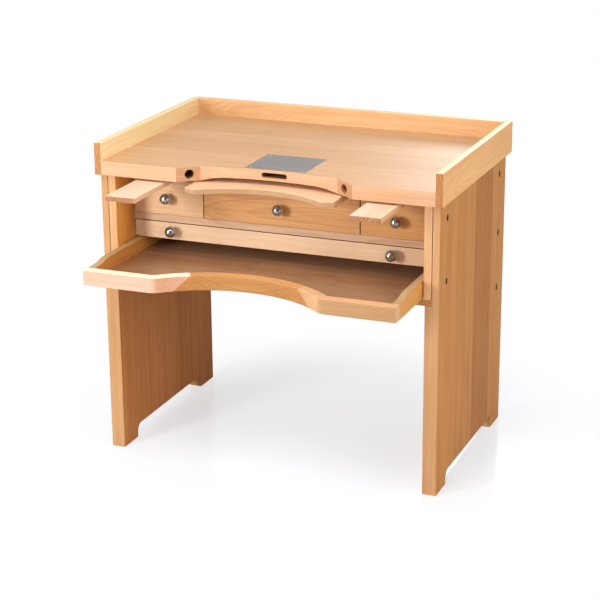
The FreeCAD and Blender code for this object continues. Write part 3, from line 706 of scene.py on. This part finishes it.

# Bolts of the leg panels: cheese heads with hexagon sockets, blackened and darkened further as painted
# shade, at the bottoms of their bores
bm = bmesh.new()
bolt_radius = 4 * mm
bolt_head = 8 * mm
head_height = 5 * mm
socket_width = 6 * mm
socket_depth = 3 * mm
for low, high in solids("panel_bolts"):
    side = 1 if high.x > 0 else -1
    outside = high.x if side > 0 else low.x
    length = high.x - low.x
    driven(bm, hexagon(socket_width), socket_depth,
           ((bolt_head - 0.5 * mm, 0.0), (bolt_head, -0.5 * mm), (bolt_head, -head_height),
            (bolt_radius, -head_height), (bolt_radius, 0.6 * mm - length),
            (bolt_radius - 0.6 * mm, -length)),
           Matrix.Translation((outside, (low.y + high.y) / 2, (low.z + high.z) / 2))
           @ Matrix.Rotation(side * math.pi / 2, 4, "Y"))
bmesh.ops.recalc_face_normals(bm, faces=bm.faces)
finished("panel_bolts_socketed", bm, "bench", shaded_black_steel, replaced=["panel_bolts"])


# ---- Ball knobs
def line_on(bm, point, distance, height):
    """Carries a knob's half section on in a straight line; gives its new end."""
    end = bm.verts.new((distance, 0.0, height))
    bm.edges.new((point, end))
    return end


def arc_on(bm, point, centre, degrees, steps):
    """Carries a knob's half section on round a centre (distance, height); gives its new end."""
    made = bmesh.ops.spin(bm, geom=[point], axis=(0, -1, 0), cent=(centre[0], 0.0, centre[1]),
                          angle=math.radians(degrees), steps=steps)
    return next(part for part in made["geom_last"] if isinstance(part, bmesh.types.BMVert))


def ball_knob(bm, placing):
    """Adds a knob that stands on z = 0, turned round z: base, waisted neck and ball."""
    old_verts = set(bm.verts)
    old_edges = set(bm.edges)
    ball_centre = knob_height - ball_radius
    neck_angle = math.acos(neck_radius / ball_radius)
    end = bm.verts.new((0.0, 0.0, 0.0))
    end = line_on(bm, end, base_radius - 0.4 * mm, 0.0)
    end = line_on(bm, end, base_radius, base_height - base_round)
    end = arc_on(bm, end, (base_radius - base_round, base_height - base_round), 90, 4)
    end = line_on(bm, end, neck_radius + neck_fillet, base_height)
    end = arc_on(bm, end, (neck_radius + neck_fillet, base_height + neck_fillet), -90, 5)
    end = line_on(bm, end, neck_radius, ball_centre - ball_radius * math.sin(neck_angle))
    arc_on(bm, end, (0.0, ball_centre), 90 + math.degrees(neck_angle), 36)
    section = [vert for vert in bm.verts if vert not in old_verts]
    section += [edge for edge in bm.edges if edge not in old_edges]
    bmesh.ops.spin(bm, geom=section, axis=(0, 0, 1), cent=(0, 0, 0), angle=math.tau, steps=48,
                   use_merge=True)
    bmesh.ops.transform(bm, matrix=placing, verts=[vert for vert in bm.verts if vert not in old_verts])


def knobs(node, places):
    """Polished ball knobs on a drawer's front, pointing forwards."""
    bm = bmesh.new()
    face_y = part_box(node)[1].y
    for x, z in places:
        ball_knob(bm, Matrix.Translation((x, face_y, z)) @ Matrix.Rotation(math.pi / 2, 4, "X"))
    bmesh.ops.remove_doubles(bm, verts=bm.verts, dist=same_point)
    bmesh.ops.recalc_face_normals(bm, faces=bm.faces)
    finished(node + "_turned", bm, body_of[node], knob_steel, round_ball, [node])


for drawer in drawers[:3]:
    knob = drawer + "_knob"
    centre = middle(knob)
    knobs(knob, [(centre.x, centre.z)])
    dress(drawer + "_knob_screw", zinc_steel)
low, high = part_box("wide_drawer_knobs")
knob_z = (low.z + high.z) / 2
knobs("wide_drawer_knobs", [(low.x + ball_radius, knob_z), (high.x - ball_radius, knob_z)])
dress("wide_drawer_knob_screws", zinc_steel)


# ---- Studio
plain_white = (1, 1, 1, 1)
sky_strength = 0.54
fade_middle = (0.05, 0.15, 0.0)
fade_start = 0.38
fade_end = 0.90


def studio_floor():
    """Pale floor that fades to plain white away from the bench."""
    material, tree, shader = principled("studio_floor", Base_Color=tint("EEF5FF"), Roughness=0.14)
    rays = tree.nodes.new("ShaderNodeLightPath").outputs
    shown = calc(tree, "MAXIMUM", rays["Is Camera Ray"], rays["Is Glossy Ray"])
    glow = add(tree, "ShaderNodeEmission", {"Color": plain_white, "Strength": 1.0})
    distance = vector_calc(tree, "DISTANCE", object_place(tree), fade_middle)
    share = times(tree, shown, step(tree, distance, fade_start, fade_end, 0.52, 1.0))
    blend = add(tree, "ShaderNodeMixShader", {0: share, 1: shader.outputs[0], 2: glow.outputs[0]})
    output = next(node for node in tree.nodes if node.type == "OUTPUT_MATERIAL")
    tree.links.new(blend.outputs[0], output.inputs["Surface"])
    bm = bmesh.new()
    bmesh.ops.create_grid(bm, x_segments=4, y_segments=4, size=14.0)
    finished("floor", bm, None, material)


def sky():
    """Even white surroundings: plain white where seen, and in reflections darker towards the front."""
    world = bpy.data.worlds.new("studio")
    bpy.context.scene.world = world
    world.use_nodes = True
    tree = world.node_tree
    tree.nodes.clear()
    rays = tree.nodes.new("ShaderNodeLightPath").outputs
    seen = calc(tree, "MAXIMUM", rays["Is Camera Ray"], rays["Is Transmission Ray"])
    way = split(tree, tree.nodes.new("ShaderNodeTexCoord").outputs["Generated"])
    reflected = step(tree, way[1], -0.5, 0.3, 0.12, 0.85)
    level = add(tree, "ShaderNodeMix", {0: rays["Is Glossy Ray"], 2: sky_strength, 3: reflected})
    soft = add(tree, "ShaderNodeBackground", {"Color": plain_white, "Strength": level.outputs[0]})
    white = add(tree, "ShaderNodeBackground", {"Color": plain_white, "Strength": 1.0})
    blend = add(tree, "ShaderNodeMixShader", {0: seen, 1: soft.outputs[0], 2: white.outputs[0]})
    output = tree.nodes.new("ShaderNodeOutputWorld")
    tree.links.new(blend.outputs[0], output.inputs["Surface"])


def softbox(name, place, target, width, height, power, mirrored=True):
    """Soft lamp aimed at a place; one that isn't mirrored doesn't show in polished pieces."""
    lamp = bpy.data.lights.new(name, "AREA")
    lamp.shape = "RECTANGLE"
    lamp.size = width
    lamp.size_y = height
    lamp.energy = power
    holder = bpy.data.objects.new(name, lamp)
    bpy.context.scene.collection.objects.link(holder)
    aim = (Vector(target) - Vector(place)).to_track_quat("-Z", "Y")
    holder.matrix_world = Matrix.Translation(place) @ aim.to_matrix().to_4x4()
    holder.visible_glossy = mirrored


studio_floor()
sky()
softbox("key", (-1.4, -2.45, 1.3), (-0.1, -0.2, 0.7), 0.6, 0.9, 52.0)
softbox("front_fill", (2.3, -2.6, 2.2), (0.0, -0.2, 0.6), 1.6, 1.4, 16.0, mirrored=False)
softbox("right_fill", (3.0, -1.0, 1.25), (-0.2, 0.0, 0.85), 1.4, 1.2, 19.0)
softbox("overhead", (0.1, -1.3, 2.6), (0.0, -0.3, 0.65), 1.3, 1.0, 31.0)
softbox("back_sheen", (-0.1, 3.6, 2.1), (0.3, 0.1, 0.85), 1.2, 0.9, 40.0)

# ---- Camera
camera_place = (1.811, -4.416, 2.023)
heading = math.radians(22.16)
pitch_down = math.radians(18.41)
roll = math.radians(-0.46)
focal_length = 106.8

lens = bpy.data.cameras.new("camera")
lens.lens = focal_length
camera = bpy.data.objects.new("camera", lens)
bpy.context.scene.collection.objects.link(camera)
camera.matrix_world = (Matrix.Translation(camera_place) @ Matrix.Rotation(heading, 4, "Z")
                       @ Matrix.Rotation(math.pi / 2 - pitch_down, 4, "X") @ Matrix.Rotation(roll, 4, "Z"))
bpy.context.scene.camera = camera
bpy.context.scene.view_settings.view_transform = "Standard"
